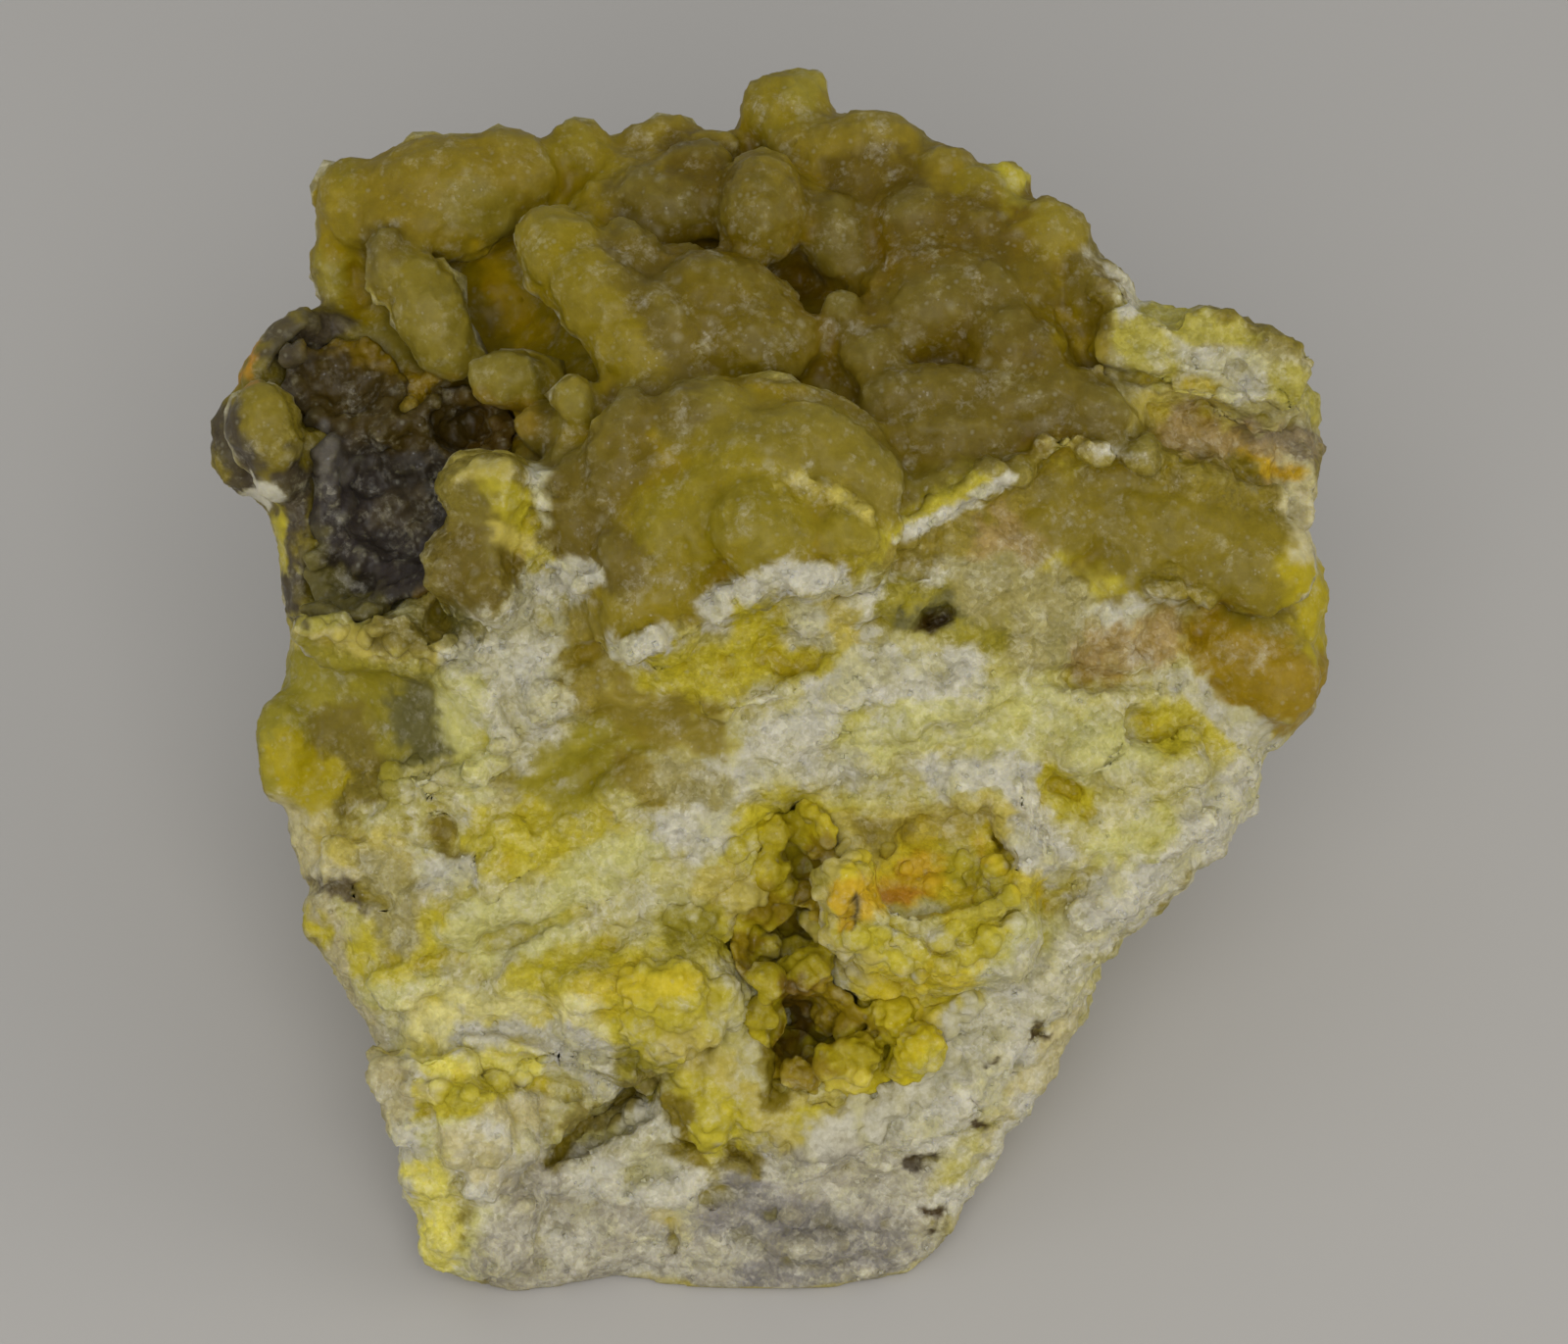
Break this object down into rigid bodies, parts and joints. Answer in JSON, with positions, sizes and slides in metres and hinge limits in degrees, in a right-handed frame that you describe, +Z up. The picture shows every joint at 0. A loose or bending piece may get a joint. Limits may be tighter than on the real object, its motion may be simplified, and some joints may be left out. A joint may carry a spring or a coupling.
{
  "type": "smithsonite specimen",
  "caption": "Wedge-shaped hand specimen of yellow botryoidal smithsonite, with a druse-lined hollow, a crusted vug and a flat break to rest on.",
  "frame": {"origin": "centre of the flat break that the specimen rests on", "axes": "+Z up, the display face looks towards -Y and upwards, +X to the right of that face"},
  "size_m": [0.0956, 0.0842, 0.0701],
  "materials": {
    "smithsonite": "waxy, lumpy growth surface over sugary, banded white and yellow breaks",
    "yellow_crust": "small waxy yellow botryoids",
    "grey_druse": "fine sparkling grey crystals"
  },
  "bodies": {
    "root": {"smithsonite_block": "smithsonite", "vug_crust": "yellow_crust", "hollow_druse": "grey_druse"}
  },
  "joints": []
}
